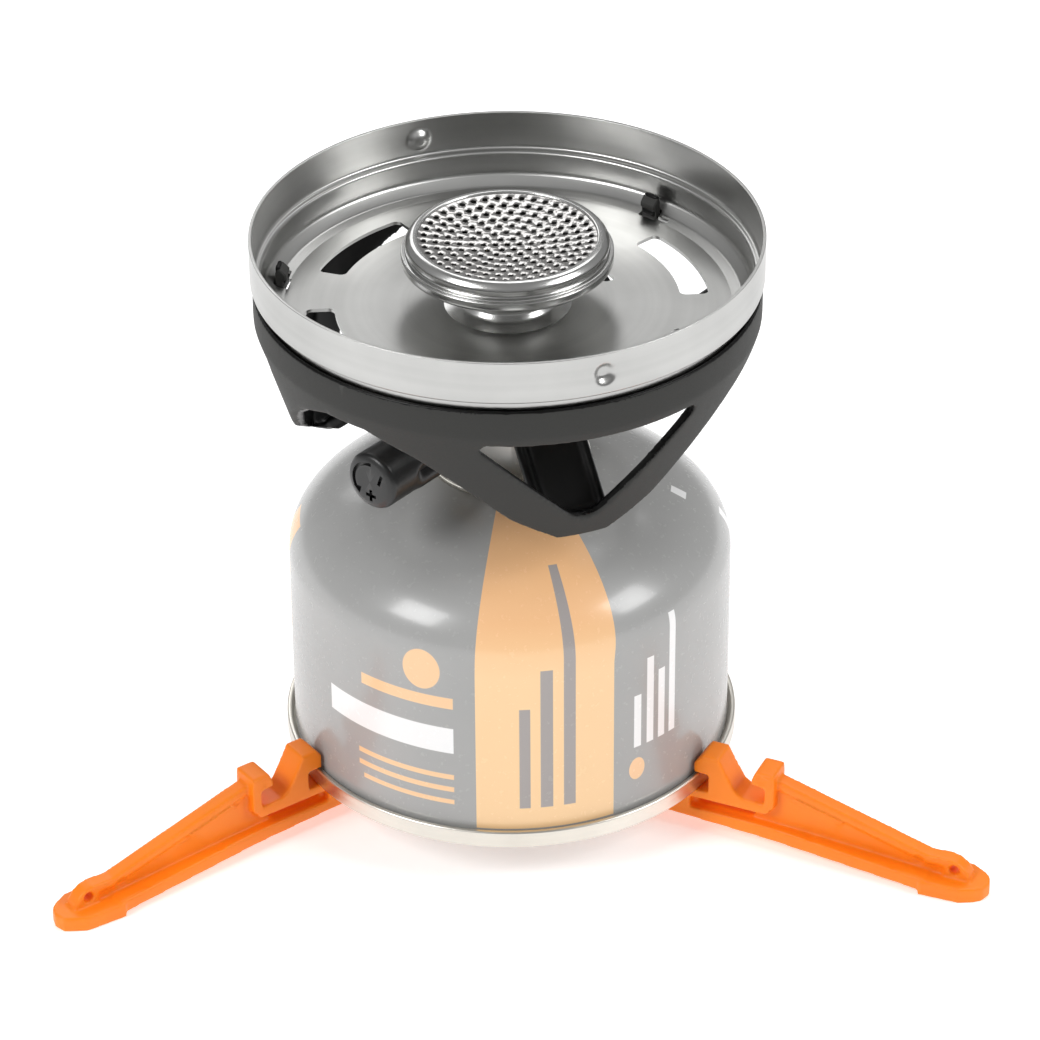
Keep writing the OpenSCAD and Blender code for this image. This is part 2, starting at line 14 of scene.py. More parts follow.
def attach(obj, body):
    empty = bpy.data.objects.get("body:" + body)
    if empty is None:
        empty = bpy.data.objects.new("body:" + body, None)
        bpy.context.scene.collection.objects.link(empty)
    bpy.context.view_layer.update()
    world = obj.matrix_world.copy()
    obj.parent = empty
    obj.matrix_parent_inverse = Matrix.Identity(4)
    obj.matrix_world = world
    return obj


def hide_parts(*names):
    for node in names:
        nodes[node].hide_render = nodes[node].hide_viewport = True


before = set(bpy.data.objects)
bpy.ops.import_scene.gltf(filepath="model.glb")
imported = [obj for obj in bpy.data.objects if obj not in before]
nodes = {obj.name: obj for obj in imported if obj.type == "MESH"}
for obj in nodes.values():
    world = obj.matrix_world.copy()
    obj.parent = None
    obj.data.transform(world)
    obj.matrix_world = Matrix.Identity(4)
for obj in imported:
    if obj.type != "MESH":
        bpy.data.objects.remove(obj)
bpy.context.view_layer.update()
MM = 0.001

# ------------------------------------------------------------------ sizes shared by several pieces
CAN_R, CAN_Z = 45.0, 10.3
SEAM_R, SEAM_H = 46.7, 3.9
SHOULDER_Z = 53.6
CUP_R, CUP_Z = 16.4, 74.0
RING_R, RIM_Z, SHEET = 50.7, 125.8, 0.7
STEP_Z = 116.8
FLOOR_Z = 109.3
SLOT_AZ = [20 + 60 * i for i in range(6)]
LOBE_AZ = [47.5, 167.5, 287.5]
DIMPLE_AZ = [108.5, 288.5]
KEY_HOLE_AZ = 24
SLOT_MID_R, SLOT_HALF_ANGLE = 37.1, 19.0
KNOB_AZ, SPINDLE_Z = 228, 88.7
LEG_AZ = {"leg_back": 90, "leg_left": 210, "leg_right": 330}
LEG_SKEW, LEG_OFFSET = 3, 6


# ------------------------------------------------------------------ mesh helpers
def add_object(name, verts, faces, material):
    """A smooth-shaded mesh object from points in millimetres."""
    mesh = bpy.data.meshes.new(name)
    mesh.from_pydata([tuple(float(c) * MM for c in v) for v in verts], [], faces)
    mesh.validate()
    obj = bpy.data.objects.new(name, mesh)
    bpy.context.scene.collection.objects.link(obj)
    mesh.materials.append(material)
    tidy_mesh(obj)
    return obj


def tidy_mesh(obj, angle=34):
    """Merges doubled points, turns faces outward and shades smooth up to an angle."""
    bm = bmesh.new()
    bm.from_mesh(obj.data)
    bmesh.ops.remove_doubles(bm, verts=bm.verts, dist=1e-7)
    bmesh.ops.dissolve_degenerate(bm, edges=bm.edges, dist=1e-8)
    bmesh.ops.recalc_face_normals(bm, faces=bm.faces)
    bm.to_mesh(obj.data)
    bm.free()
    obj.data.shade_smooth()
    obj.data.set_sharp_from_angle(angle=radians(angle))


def apply_modifiers(obj):
    """Replaces the object's mesh by its evaluated one."""
    graph = bpy.context.evaluated_depsgraph_get()
    mesh = bpy.data.meshes.new_from_object(obj.evaluated_get(graph))
    old = obj.data
    obj.modifiers.clear()
    obj.data = mesh
    bpy.data.meshes.remove(old)


def cut(obj, cutters):
    """Cuts closed shapes out of obj."""
    for cutter in cutters:
        mod = obj.modifiers.new("cut", "BOOLEAN")
        mod.operation = "DIFFERENCE"
        mod.solver = "EXACT"
        mod.object = cutter
    apply_modifiers(obj)
    for cutter in cutters:
        bpy.data.objects.remove(cutter)
    tidy_mesh(obj)


def fillet(points, steps=5):
    """Rounds the corners of a closed outline of (x, y, radius) points."""
    out = []
    for i, (x, y, r) in enumerate(points):
        p = Vector((x, y))
        a = Vector(points[i - 1][:2]) - p
        b = Vector(points[(i + 1) % len(points)][:2]) - p
        half = a.angle(b, pi) / 2
        if r <= 0 or half > 1.55:
            out.append(p)
            continue
        reach = min(r / tan(half), 0.48 * a.length, 0.48 * b.length)
        r = reach * tan(half)
        a.normalize()
        b.normalize()
        centre = p + (a + b).normalized() * (r / sin(half))
        first, last = p + a * reach - centre, p + b * reach - centre
        for k in range(steps + 1):
            out.append(centre + first.lerp(last, k / steps).normalized() * r)
    return [(q[0], q[1]) for q in out]


def lathe(name, profile, material, segments=192, uv=False):
    """Turns a closed outline of (radius, height) about the vertical axis."""
    n = len(profile)
    verts, faces = [], []
    for j in range(segments):
        a = 2 * pi * j / segments + pi / 2
        verts += [(r * cos(a), r * sin(a), z) for r, z in profile]
    for j in range(segments):
        k = (j + 1) % segments
        for i in range(n):
            m = (i + 1) % n
            if profile[i][0] < 1e-6 and profile[m][0] < 1e-6:
                continue
            faces.append((j * n + i, k * n + i, k * n + m, j * n + m))
    obj = add_object(name, verts, faces, material)
    if uv:
        steps = [hypot(b[0] - a[0], b[1] - a[1]) for a, b in zip(profile, profile[1:])]
        run = profile[0][1] + np.concatenate([[0], np.cumsum(steps)])
        layer = obj.data.uv_layers.new(name="wrap")
        for poly in obj.data.polygons:
            turns = [obj.data.loops[k].vertex_index // n for k in poly.loop_indices]
            for k, turn in zip(poly.loop_indices, turns):
                if turn == 0 and segments - 1 in turns:
                    turn = segments
                layer.data[k].uv = (turn / segments, run[obj.data.loops[k].vertex_index % n])
    return obj


def loft(name, rings, material, capped=True):
    """Joins closed loops of equal length into a skin."""
    n = len(rings[0])
    verts = [p for ring in rings for p in ring]
    faces = [(i * n + j, i * n + (j + 1) % n, (i + 1) * n + (j + 1) % n, (i + 1) * n + j)
             for i in range(len(rings) - 1) for j in range(n)]
    if capped:
        faces += [tuple(range(n))[::-1], tuple((len(rings) - 1) * n + j for j in range(n))]
    return add_object(name, verts, faces, material)


def prism(name, outline, z0, z1, material, place=None):
    """A closed prism from a flat outline; place maps (x, y, z) into the object's space."""
    place = place or (lambda x, y, z: (x, y, z))
    return loft(name, [[place(x, y, z) for x, y in outline] for z in (z0, z1)], material)


def polar(az, r):
    return r * cos(radians(az)), r * sin(radians(az))


def copy_of(node, name, material):
    """A new object with a copy of a CAD node's mesh."""
    obj = bpy.data.objects.new(name, nodes[node].data.copy())
    obj.data.transform(nodes[node].matrix_world)
    bpy.context.scene.collection.objects.link(obj)
    obj.data.materials.clear()
    obj.data.materials.append(material)
    return obj


def join(objects):
    """One object from several."""
    bm = bmesh.new()
    for o in objects:
        bm.from_mesh(o.data)
    bm.to_mesh(objects[0].data)
    bm.free()
    for o in objects[1:]:
        bpy.data.objects.remove(o)
    return objects[0]


def soften(obj, voxel, passes, keep=1.0):
    """Unites the object's closed shapes and rounds every edge, as moulding does."""
    mod = obj.modifiers.new("unite", "REMESH")
    mod.mode = "VOXEL"
    mod.voxel_size = voxel * MM
    mod = obj.modifiers.new("round", "SMOOTH")
    mod.factor = 0.5
    mod.iterations = passes
    if keep < 1:
        mod = obj.modifiers.new("thin", "DECIMATE")
        mod.ratio = keep
    apply_modifiers(obj)
    obj.data.shade_smooth()


def move_points(obj, rule):
    """Moves every point of obj by rule(points in mm, normals) -> shifts in mm."""
    mesh = obj.data
    n = len(mesh.vertices)
    co = np.empty(n * 3)
    no = np.empty(n * 3)
    mesh.vertices.foreach_get("co", co)
    mesh.vertices.foreach_get("normal", no)
    co = co.reshape(-1, 3) / MM
    co += rule(co, no.reshape(-1, 3))
    mesh.vertices.foreach_set("co", (co * MM).ravel())
    mesh.update()


def smoothstep(x, low, high):
    t = np.clip((x - low) / (high - low), 0, 1)
    return t * t * (3 - 2 * t)


# ------------------------------------------------------------------ material helpers
class Shader:
    """A Principled material with short ways to add nodes. Textures are laid out in millimetres."""

    def __init__(self, name, color, rough=0.5, metal=0.0, **sockets):
        self.material = bpy.data.materials.new(name)
        self.material.use_nodes = True
        self.tree = self.material.node_tree
        self.bsdf = self.tree.nodes["Principled BSDF"]
        self.set("Base Color", (*color, 1))
        self.set("Roughness", rough)
        self.set("Metallic", metal)
        for key, value in sockets.items():
            self.set(key.replace("_", " "), value)
        coords = self.node("ShaderNodeTexCoord")
        self.uv = coords.outputs["UV"]
        scale = self.node("ShaderNodeVectorMath", operation="SCALE")
        self.link(coords.outputs["Object"], scale.inputs[0])
        scale.inputs["Scale"].default_value = 1000
        self.position = scale.outputs[0]

    def node(self, kind, **props):
        n = self.tree.nodes.new(kind)
        for key, value in props.items():
            setattr(n, key, value)
        return n

    def link(self, a, b):
        self.tree.links.new(a, b)

    def put(self, value, socket):
        if isinstance(value, bpy.types.NodeSocket):
            self.link(value, socket)
        elif isinstance(value, (tuple, list)) and len(value) == 3 and socket.type == "RGBA":
            socket.default_value = (*value, 1)
        else:
            socket.default_value = value

    def set(self, name, value):
        self.put(value, self.bsdf.inputs[name])

    def math(self, op, a, b=0.0, clamp=False):
        n = self.node("ShaderNodeMath", operation=op, use_clamp=clamp)
        self.put(a, n.inputs[0])
        self.put(b, n.inputs[1])
        return n.outputs[0]

    def mix(self, factor, a, b):
        n = self.node("ShaderNodeMix", data_type="RGBA")
        self.put(factor, n.inputs[0])
        self.put(a, n.inputs[6])
        self.put(b, n.inputs[7])
        return n.outputs[2]

    def range(self, value, low, high, a=0.0, b=1.0):
        n = self.node("ShaderNodeMapRange")
        for socket, v in zip(n.inputs, (value, low, high, a, b)):
            self.put(v, socket)
        return n.outputs[0]

    def noise(self, scale, detail=2.0, vector=None, rough=0.5):
        n = self.node("ShaderNodeTexNoise")
        self.put(vector or self.position, n.inputs["Vector"])
        n.inputs["Scale"].default_value = scale
        n.inputs["Detail"].default_value = detail
        n.inputs["Roughness"].default_value = rough
        return n.outputs["Fac"]

    def split(self, vector=None):
        n = self.node("ShaderNodeSeparateXYZ")
        self.put(vector or self.position, n.inputs[0])
        return n.outputs

    def vector(self, x, y, z):
        n = self.node("ShaderNodeCombineXYZ")
        for socket, v in zip(n.inputs, (x, y, z)):
            self.put(v, socket)
        return n.outputs[0]

    def rings(self):
        """Coordinates that are the same all round the vertical axis."""
        x, y, z = self.split()
        r = self.math("SQRT", self.math("ADD", self.math("MULTIPLY", x, x), self.math("MULTIPLY", y, y)))
        return self.vector(r, 0.0, z)

    def bump(self, height, distance, strength=1.0, base=None):
        n = self.node("ShaderNodeBump")
        self.put(height, n.inputs["Height"])
        n.inputs["Distance"].default_value = distance * MM
        n.inputs["Strength"].default_value = strength
        if base is not None:
            self.link(base, n.inputs["Normal"])
        return n.outputs[0]

    def worn_edges(self, low=0.52, high=0.6):
        g = self.node("ShaderNodeNewGeometry")
        return self.range(g.outputs["Pointiness"], low, high)


def turned_metal(name, color, rough=0.3, grain=0.1, dents=0.003, shine=0.6, tangent=True):
    """Metal that was turned, spun or drawn about the vertical axis."""
    s = Shader(name, color, rough, 1.0, Anisotropic=shine if tangent else 0.0)
    fine = s.noise(3.2, 3, s.rings())
    broad = s.noise(0.45, 2, s.rings())
    stains = s.noise(0.09, 4)
    specks = s.noise(1.6, 5, rough=0.7)
    tone = s.math("ADD", s.math("MULTIPLY", broad, 0.5), s.math("MULTIPLY", stains, 0.5))
    s.set("Base Color", s.mix(s.range(tone, 0.3, 0.7), tuple(c * 0.9 for c in color),
                              tuple(min(1, c * 1.07) for c in color)))
    s.set("Roughness", s.math("ADD", s.range(fine, 0.2, 0.8, rough - 0.04, rough + 0.04),
                              s.range(specks, 0.45, 0.75, -0.005, 0.01)))
    if tangent:
        t = s.node("ShaderNodeTangent", direction_type="RADIAL", axis="Z")
        s.link(t.outputs[0], s.bsdf.inputs["Tangent"])
    s.set("Normal", s.bump(stains, 0.006, 0.1, s.bump(fine, dents, grain)))
    return s.material


def moulded_plastic(name, color, rough, grain_mm=0.35, grain=0.3, wear=0.15, **sockets):
    """Moulded plastic with a fine spark-eroded grain and slightly paler edges."""
    s = Shader(name, color, rough, 0.0, **sockets)
    cloud = s.noise(0.06, 3)
    grainy = s.noise(1 / grain_mm, 3, rough=0.6)
    dust = s.noise(1.1, 6, rough=0.75)
    base = s.mix(s.range(cloud, 0.3, 0.7), tuple(c * 0.93 for c in color),
                 tuple(min(1, c * 1.05) for c in color))
    pale = tuple(min(1, c + wear * (0.9 - c) * 0.5) for c in color)
    base = s.mix(s.math("MULTIPLY", s.worn_edges(), 0.5), base, pale)
    base = s.mix(s.range(dust, 0.66, 0.8, 0, 0.25), base, pale)
    s.set("Base Color", base)
    s.set("Roughness", s.math("ADD", s.range(grainy, 0.2, 0.8, rough - 0.06, rough + 0.06),
                              s.range(cloud, 0.3, 0.7, -0.04, 0.04)))
    s.set("Normal", s.bump(cloud, 0.15, 0.25, s.bump(grainy, 0.03, grain)))
    return s.material


def turned_small(name, color, rough):
    """Small machined metal parts that do not turn about the vertical axis."""
    return turned_metal(name, color, rough, tangent=False)


pan_steel = turned_metal("pan_steel", (0.48, 0.48, 0.47), 0.31, 0.05, 0.0012, shine=0.7)
cap_steel = turned_metal("cap_steel", (0.6, 0.6, 0.59), 0.2, shine=0.5)
head_metal = turned_metal("head_metal", (0.56, 0.56, 0.55), 0.24, shine=0.5)
plate_steel = turned_metal("plate_steel", (0.47, 0.46, 0.45), 0.24, tangent=False)
cup_steel = turned_metal("cup_steel", (0.66, 0.64, 0.58), 0.25)
seam_steel = turned_metal("seam_steel", (0.72, 0.69, 0.63), 0.3, shine=0.4)
small_steel = turned_small("small_steel", (0.55, 0.55, 0.55), 0.28)
body_metal = turned_small("body_metal", (0.86, 0.85, 0.83), 0.48)
# Diffuser screen under the flame plate: its near-black colour is painted shade, so that the ports read dark
painted_shade_metal = turned_small("painted_shade_metal", (0.1, 0.098, 0.095), 0.5)
brass = turned_small("brass", (0.72, 0.52, 0.24), 0.28)
base_outer = moulded_plastic("base_outer", (0.031, 0.031, 0.029), 0.62, 0.3, 0.5, 0.08,
                             Specular_IOR_Level=0.3)
base_inner = moulded_plastic("base_inner", (0.002, 0.002, 0.002), 0.34, 0.8, 0.03, 0.0,
                             Specular_IOR_Level=0.22)
knob_black = moulded_plastic("knob_black", (0.011, 0.011, 0.011), 0.33, 0.4, 0.2, 0.1)
leg_orange = moulded_plastic("leg_orange", (1.0, 0.235, 0.008), 0.4, 0.5, 0.12, 0.04,
                             Subsurface_Weight=0.15, Subsurface_Scale=0.003,
                             Subsurface_Radius=(1.0, 0.3, 0.05), Specular_IOR_Level=0.35)
valve_plastic = moulded_plastic("valve_plastic", (0.75, 0.74, 0.68), 0.45)
seal_rubber = moulded_plastic("seal_rubber", (0.012, 0.012, 0.012), 0.6)


def printed_can():
    """Grey varnished tin with a printed band, and plain bars and discs where a label is printed."""
    s = Shader("printed_can", (0.34, 0.34, 0.33), 0.24, Coat_Weight=0.3, Coat_Roughness=0.12)
    u, v, _ = s.split(s.uv)
    # Across: mm round the wall from the front of the band's middle; up: mm along the wall
    az = s.math("MULTIPLY", s.math("FRACT", s.math("ADD", u, 0.25)), 360)
    across = s.math("MULTIPLY", s.math("SUBTRACT", az, 276.0), CAN_R * pi / 180)
    up = v
    soft = 0.06

    def inside(value, low, high):
        a = s.range(value, low - soft, low + soft)
        b = s.range(value, high - soft, high + soft, 1.0, 0.0)
        return s.math("MULTIPLY", a, b)

    def block(x0, x1, y0, y1):
        """A plain bar."""
        return s.math("MULTIPLY", inside(across, x0, x1), inside(up, y0, y1))

    def disc(x, y, rx, ry):
        dx = s.math("DIVIDE", s.math("SUBTRACT", across, x), rx)
        dy = s.math("DIVIDE", s.math("SUBTRACT", up, y), ry)
        d = s.math("ADD", s.math("MULTIPLY", dx, dx), s.math("MULTIPLY", dy, dy))
        return s.range(d, 0.96, 1.04, 1.0, 0.0)

    def x(azimuth):
        return (azimuth - 276.0) * CAN_R * pi / 180

    def total(masks):
        out = masks[0]
        for m in masks[1:]:
            out = s.math("MAXIMUM", out, m)
        return out

    lean = s.range(up, 51.0, 87.0)
    left = s.math("ADD", x(258.3), s.math("MULTIPLY", lean, 0.8))
    right = s.math("ADD", x(294.4), s.math("MULTIPLY", lean, 3.0))
    band = s.math("MULTIPLY", s.math("MULTIPLY", s.math("GREATER_THAN", across, left),
                                     s.math("LESS_THAN", across, right)), s.math("GREATER_THAN", up, 14.0))
    back_band = inside(across, x(172.0), x(183.5))
    tint = s.mix(s.range(up, 50.0, 62.0), (0.92, 0.62, 0.34), (0.9, 0.53, 0.27))
    grey = s.mix(s.range(s.noise(0.05, 3), 0.3, 0.7), (0.36, 0.36, 0.355), (0.385, 0.385, 0.38))
    color = s.mix(s.math("MAXIMUM", band, s.math("MULTIPLY", back_band, inside(up, 36.0, 61.0))), grey, tint)
    bars = total([block(x(269.4), x(272.2), 19, 43), block(x(274.8), x(278.0), 19, 52),
                  block(x(280.8), x(283.9), 19, 74)])
    color = s.mix(bars, color, (0.36, 0.33, 0.32))
    white = total([block(x(214), x(252.6), 31.5, 37.5),
                   block(x(300.4), x(302.6), 28.5, 41),
                   block(x(304.4), x(306.6), 28.5, 49),
                   block(x(308.2), x(310.4), 28.5, 45),
                   block(x(312.0), x(314.2), 28.5, 57),
                   block(x(350), x(354), 70, 73.5), block(x(0) + 283, x(3) + 283, 70, 73.5),
                   block(x(356.5), x(360.0), 53, 61)])
    color = s.mix(white, color, (0.88, 0.88, 0.88))
    pale = total([block(x(226), x(252.6), 42.2, 44.8),
                  disc(x(244.2), 50.6, 4.0, 4.6),
                  block(x(224.5), x(252.6), 25.1, 26.3),
                  block(x(224.5), x(252.6), 22.1, 23.3),
                  block(x(226), x(252.6), 19.1, 20.2),
                  disc(x(301.4), 23.2, 1.9, 2.6)])
    color = s.mix(pale, color, (0.9, 0.58, 0.33))
    cloud = s.noise(0.8, 3, rough=0.6)
    s.set("Base Color", color)
    s.set("Roughness", s.range(cloud, 0.3, 0.8, 0.24, 0.29))
    s.set("Normal", s.bump(s.noise(0.16, 3), 0.05, 0.2))
    return s.material


can_paint = printed_can()


# ------------------------------------------------------------------ canister
def canister():
    def dome(inset):
        knots = [(CAN_R - inset, SHOULDER_Z), (CAN_R - inset, SHOULDER_Z + 10.5),
                 (30, CUP_Z - 3.8 - inset), (CUP_R, CUP_Z - inset)]
        return [(q.x, q.y) for q in geometry.interpolate_bezier(*[(x, y, 0) for x, y in knots], 42)]

    outer = [(CAN_R, z) for z in (CAN_Z + 0.9, 14.3, 20, 30, 42, 50)] + dome(0)
    lips = [(15.0, CUP_Z), (15.0, CUP_Z - 0.6)]
    inner = dome(0.6)[::-1] + [(CAN_R - 0.6, CAN_Z + 0.9)]
    shell = lathe("canister_body", outer + lips + inner, can_paint, 256, uv=True)
    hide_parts("canister_shell")
    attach(shell, "stand")
    # Rolled double seam with a groove behind its top edge, and the domed bottom
    z = CAN_Z
    seam = fillet([(45.2, z + 2.4, 0.1), (45.25, z + SEAM_H - 0.5, 0.3), (45.8, z + SEAM_H, 0.5),
                   (SEAM_R, z + SEAM_H, 0.75), (SEAM_R - 0.12, z + 2.2, 0.5), (SEAM_R, z + 0.1, 0.6),
                   (45.5, z, 0.5), (44.0, z + 0.1, 0.5), (43.6, z + 3.6, 1.2), (37.5, z + 8.0, 3),
                   (24, z + 11.2, 8), (0, z + 12.4, 0), (0, z + 12.9, 0), (24, z + 11.7, 8),
                   (37.6, z + 8.6, 3), (44.3, z + 4.2, 1)])
    base = lathe("canister_seam", seam, seam_steel, 256)
    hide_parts("canister_base")
    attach(base, "stand")
    cup = fillet([(15.2, CUP_Z + 0.02, 0.1), (CUP_R + 0.1, CUP_Z + 0.02, 0.4),
                  (CUP_R + 0.1, CUP_Z + 1.3, 0.8), (15.8, CUP_Z + 2.0, 0.9), (14.0, CUP_Z + 2.0, 0.8), (13.9, 69.7, 1.2), (6.6, 69.7, 0.8),
                  (5.55, 70.6, 0.4), (5.5, 78.9, 0.35), (1.8, 79.0, 0.2), (1.8, 78.4, 0), (4.5, 78.3, 0),
                  (4.5, 69.1, 0), (14.5, 69.1, 1.2), (14.5, CUP_Z, 0)])
    obj = lathe("valve_cup_crimped", cup, cup_steel)
    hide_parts("valve_cup")
    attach(obj, "stand")


# ------------------------------------------------------------------ pot ring, burner head, tube
def pot_ring():
    t = SHEET
    profile = [(9.0, FLOOR_Z, 0.0), (44.5, FLOOR_Z, 1.5), (46.6, FLOOR_Z + 0.5, 1.2),
               (49.2, FLOOR_Z + 3.0, 1.2), (49.2, STEP_Z, 0.6), (RING_R, STEP_Z, 1.3), (RING_R, RIM_Z, 0.15),
               (RING_R - t, RIM_Z, 0.15), (RING_R - t, STEP_Z + t, 0.9), (49.2 - t, STEP_Z + t, 1.1),
               (49.2 - t, FLOOR_Z + 3.3, 1.6), (46.3, FLOOR_Z + 0.5 + t, 1.2), (44.3, FLOOR_Z + t, 1.2),
               (10.8, FLOOR_Z + t, 0.4), (9.0, FLOOR_Z + t, 0.0)]
    outline = fillet(profile, 6)
    # Extra points up the wall, so that the dimples have something to bend
    dense = []
    for i, p in enumerate(outline):
        q = outline[(i + 1) % len(outline)]
        dense.append(p)
        gap = hypot(q[0] - p[0], q[1] - p[1])
        if p[1] > STEP_Z and q[1] > STEP_Z and gap > 1:
            k = int(gap / 0.4)
            dense += [(p[0] + (q[0] - p[0]) * i2 / k, p[1] + (q[1] - p[1]) * i2 / k) for i2 in range(1, k)]
    pan = lathe("pot_ring_pan", dense, pan_steel, 720)

    def dimples(co, no):
        shift = np.zeros_like(co)
        r = np.hypot(co[:, 0], co[:, 1])
        az = np.degrees(np.arctan2(co[:, 1], co[:, 0])) % 360
        for d in DIMPLE_AZ:
            s = np.radians((az - d + 180) % 360 - 180) * r
            off = np.hypot(s, co[:, 2] - (STEP_Z + 4.6))
            depth = 1.15 * (1 - smoothstep(off, 0.9, 2.7)) * (r > 49.4)
            shift[:, 0] -= depth * co[:, 0] / r
            shift[:, 1] -= depth * co[:, 1] / r
        return shift

    move_points(pan, dimples)
    cutters = []
    for az in SLOT_AZ:
        arc = np.radians(SLOT_HALF_ANGLE) * SLOT_MID_R
        outline = fillet([(-arc, 34.2, 1.3), (arc, 34.2, 1.3), (arc, 40.0, 1.3), (-arc, 40.0, 1.3)], 5)
        full = []
        for i, p in enumerate(outline):
            q = outline[(i + 1) % len(outline)]
            k = max(1, int(abs(q[0] - p[0]) / 1.2))
            full += [(p[0] + (q[0] - p[0]) * j / k, p[1] + (q[1] - p[1]) * j / k) for j in range(k)]
        bent = [polar(az + degrees(x / SLOT_MID_R), y) for x, y in full]
        cutters.append(prism("slot", bent, FLOOR_Z - 2, FLOOR_Z + 3, pan_steel))
    for az in LOBE_AZ:
        for x0, x1, half, shift in ((44.0, 46.9, 2.1, 0.0), (44.6, 45.4, 3.4, -1.6)):
            outline = [(x0, shift - half), (x1, shift - half), (x1, shift + half), (x0, shift + half)]
            outline = fillet([(x, y, 0.3) for x, y in outline], 3)
            c, s = cos(radians(az)), sin(radians(az))
            turned = [(x * c - y * s, x * s + y * c) for x, y in outline]
            cutters.append(prism("clip_hole", turned, FLOOR_Z - 2, FLOOR_Z + 7, pan_steel))
    outline = fillet([(20.6, -2.0, 0.6), (23.0, -2.0, 0.6), (23.0, 2.0, 0.6), (20.6, 2.0, 0.6)], 3)
    c, s = cos(radians(KEY_HOLE_AZ)), sin(radians(KEY_HOLE_AZ))
    cutters.append(prism("key_hole", [(x * c - y * s, x * s + y * c) for x, y in outline],
                         FLOOR_Z - 2, FLOOR_Z + 3, pan_steel))
    cut(pan, cutters)
    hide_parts("pot_ring")
    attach(pan, "burner")


def burner_head():
    z = FLOOR_Z + SHEET
    body = fillet([(8.4, z, 0), (12.6, z + 0.02, 0), (9.9, z + 0.9, 1.0), (9.0, z + 2.2, 1.2),
                   (8.9, z + 4.6, 1.6), (12.0, z + 7.2, 1.5), (20.0, z + 9.0, 0.9), (20.95, z + 9.9, 0.5),
                   (20.95, z + 11.3, 0.35), (20.5, z + 11.55, 0.2), (20.95, z + 11.8, 0.3),
                   (20.9, z + 12.1, 0.2), (20.15, z + 12.1, 0), (20.15, z + 10.9, 0),
                   (19.2, z + 10.9, 0), (19.2, z + 9.9, 0), (11.6, z + 8.2, 0), (8.4, z + 5.5, 0)])
    obj = lathe("burner_head_cup", body, head_metal, 256)
    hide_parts("burner_head")
    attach(obj, "burner")
    top, lip = RIM_Z - 0.75, RIM_Z - 3.75
    cap = fillet([(20.1, lip - 0.8, 0.1), (20.1, lip + 0.1, 0.1), (19.9, lip + 0.35, 0.2),
                  (20.1, lip + 0.6, 0.2), (20.1, top - 1.2, 1.2), (19.0, top, 1.4),
                  (17.8, top, 0.35), (17.6, top - 0.5, 0.1), (18.9, top - 0.6, 0.2),
                  (19.4, top - 2.3, 0.2), (19.4, lip - 0.8, 0)], 8)
    obj = lathe("burner_cap_rolled", cap, cap_steel, 256)
    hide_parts("burner_cap")
    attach(obj, "burner")


def flame_plate():
    """Dished plate with punched ports, triangulated around its holes."""
    radius, hole, pitch, rings = 18.5, 0.6, 2.35, 7
    top = RIM_Z - 1.35
    centres = [(0.0, 0.0)]
    for k in range(1, rings + 1):
        centres += [polar(60 * i / k, k * pitch) for i in range(6 * k)]
    points, edges, zs = [], [], []

    def dish(x, y):
        r = hypot(x, y)
        return top + 0.25 - 1.75 * (1 - (r / radius) ** 2)

    def circle(cx, cy, r, n, drop, closed):
        first = len(points)
        for i in range(n):
            x, y = cx + r * cos(2 * pi * i / n), cy + r * sin(2 * pi * i / n)
            points.append(Vector((x, y)))
            zs.append(dish(x, y) - drop)
        if closed:
            edges.extend((first + i, first + (i + 1) % n) for i in range(n))

    circle(0, 0, radius, 160, 0.0, True)
    for cx, cy in centres:
        circle(cx, cy, hole, 14, 0.16, True)
        circle(cx, cy, hole + 0.24, 14, -0.03, False)
    verts, _, faces, origin, _, _ = geometry.delaunay_2d_cdt(points, edges, [], 0, 1e-5)
    height = [zs[o[0]] if o else 0.0 for o in origin]
    keep = []
    near = np.array(centres)
    for f in faces:
        cx = sum(verts[i][0] for i in f) / len(f)
        cy = sum(verts[i][1] for i in f) / len(f)
        if hypot(cx, cy) < radius and np.hypot(near[:, 0] - cx, near[:, 1] - cy).min() > hole * 0.93:
            keep.append(tuple(f))
    obj = add_object("flame_plate_dished", [(v[0], v[1], h) for v, h in zip(verts, height)], keep,
                     plate_steel)
    bm = bmesh.new()
    bm.from_mesh(obj.data)
    bmesh.ops.delete(bm, geom=[v for v in bm.verts if not v.link_faces], context="VERTS")
    if sum(f.normal.z for f in bm.faces) < 0:
        bmesh.ops.reverse_faces(bm, faces=bm.faces)
    bm.to_mesh(obj.data)
    bm.free()
    mod = obj.modifiers.new("sheet", "SOLIDIFY")
    mod.thickness = 0.4 * MM
    mod.offset = -1
    apply_modifiers(obj)
    tidy_mesh(obj, 50)
    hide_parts("flame_plate")
    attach(obj, "burner")


